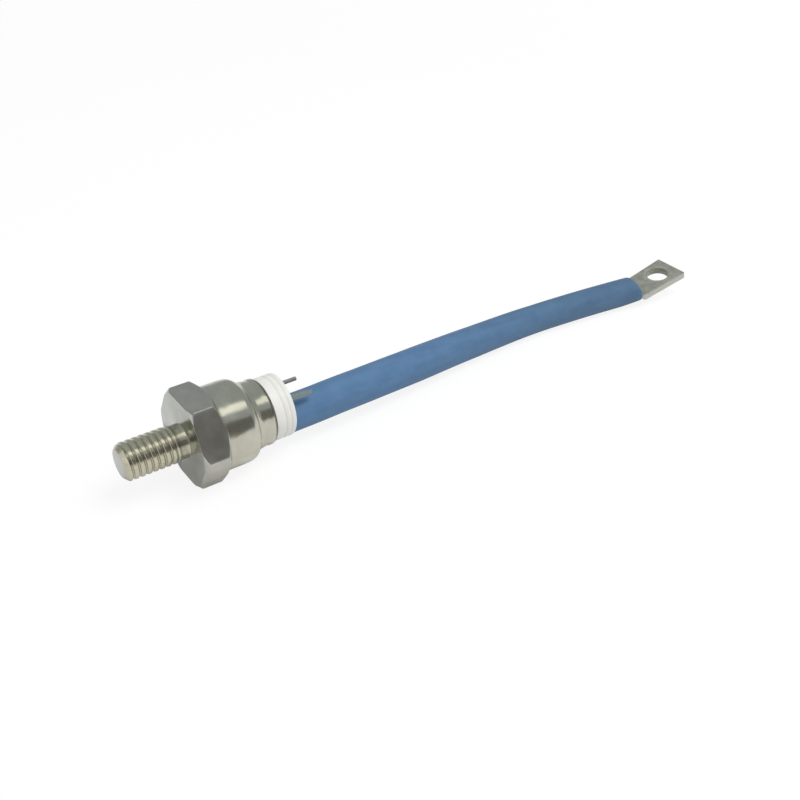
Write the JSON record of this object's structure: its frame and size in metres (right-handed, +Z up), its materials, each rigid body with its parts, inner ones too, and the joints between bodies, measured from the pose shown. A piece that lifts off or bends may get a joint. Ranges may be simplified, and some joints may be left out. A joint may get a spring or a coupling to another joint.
{
  "type": "stud-mount controlled rectifier",
  "caption": "Hexagon-based power rectifier with a threaded mounting stud, metal can, white ceramic, control pins and a flexible blue insulated lead ending in a drilled lug.",
  "frame": {"origin": "centre of the seat, the face of the hexagon that is pulled onto a heat sink", "axes": "+X along the stud's axis from the seat towards the lead, +Z up from the flat of the hexagon that the part lies on"},
  "size_m": [0.2263, 0.0312, 0.027],
  "materials": {
    "plated_base": "nickel-plated copper, satin",
    "can_metal": "nickel-plated steel, bright",
    "braze": "dark brazed seam",
    "ceramic_white": "white alumina, satin",
    "copper": "bare copper",
    "pin_metal": "dull tinned pin",
    "molybdenum": "ground molybdenum",
    "silicon": "polished silicon, opaque",
    "silvered": "silvered",
    "mica": "mica",
    "spring_steel": "spring steel",
    "insulation": "insulating tube",
    "gold_wire": "gold-plated wire",
    "sleeve_blue": "blue insulating sleeve, satin",
    "tinned_lug": "tinned copper, dull"
  },
  "bodies": {
    "root": {"stud_base": "plated_base", "housing_can": "can_metal", "braze_seam": "braze", "ceramic_insulator": "ceramic_white", "cathode_header": "copper", "gate_pin": "pin_metal", "auxiliary_pin": "pin_metal", "support_disc": "molybdenum", "silicon_wafer": "silicon", "contact_disc": "silvered", "cathode_post": "copper", "mica_washer": "mica", "thrust_ring": "spring_steel", "lower_disc_spring": "spring_steel", "upper_disc_spring": "spring_steel", "retaining_ring": "spring_steel", "insulating_sleeve": "insulation", "gate_wire": "gold_wire", "gate_tube": "insulation", "lead_conductor": "copper", "lead_sleeve": "sleeve_blue", "terminal_lug": "tinned_lug"}
  },
  "joints": []
}
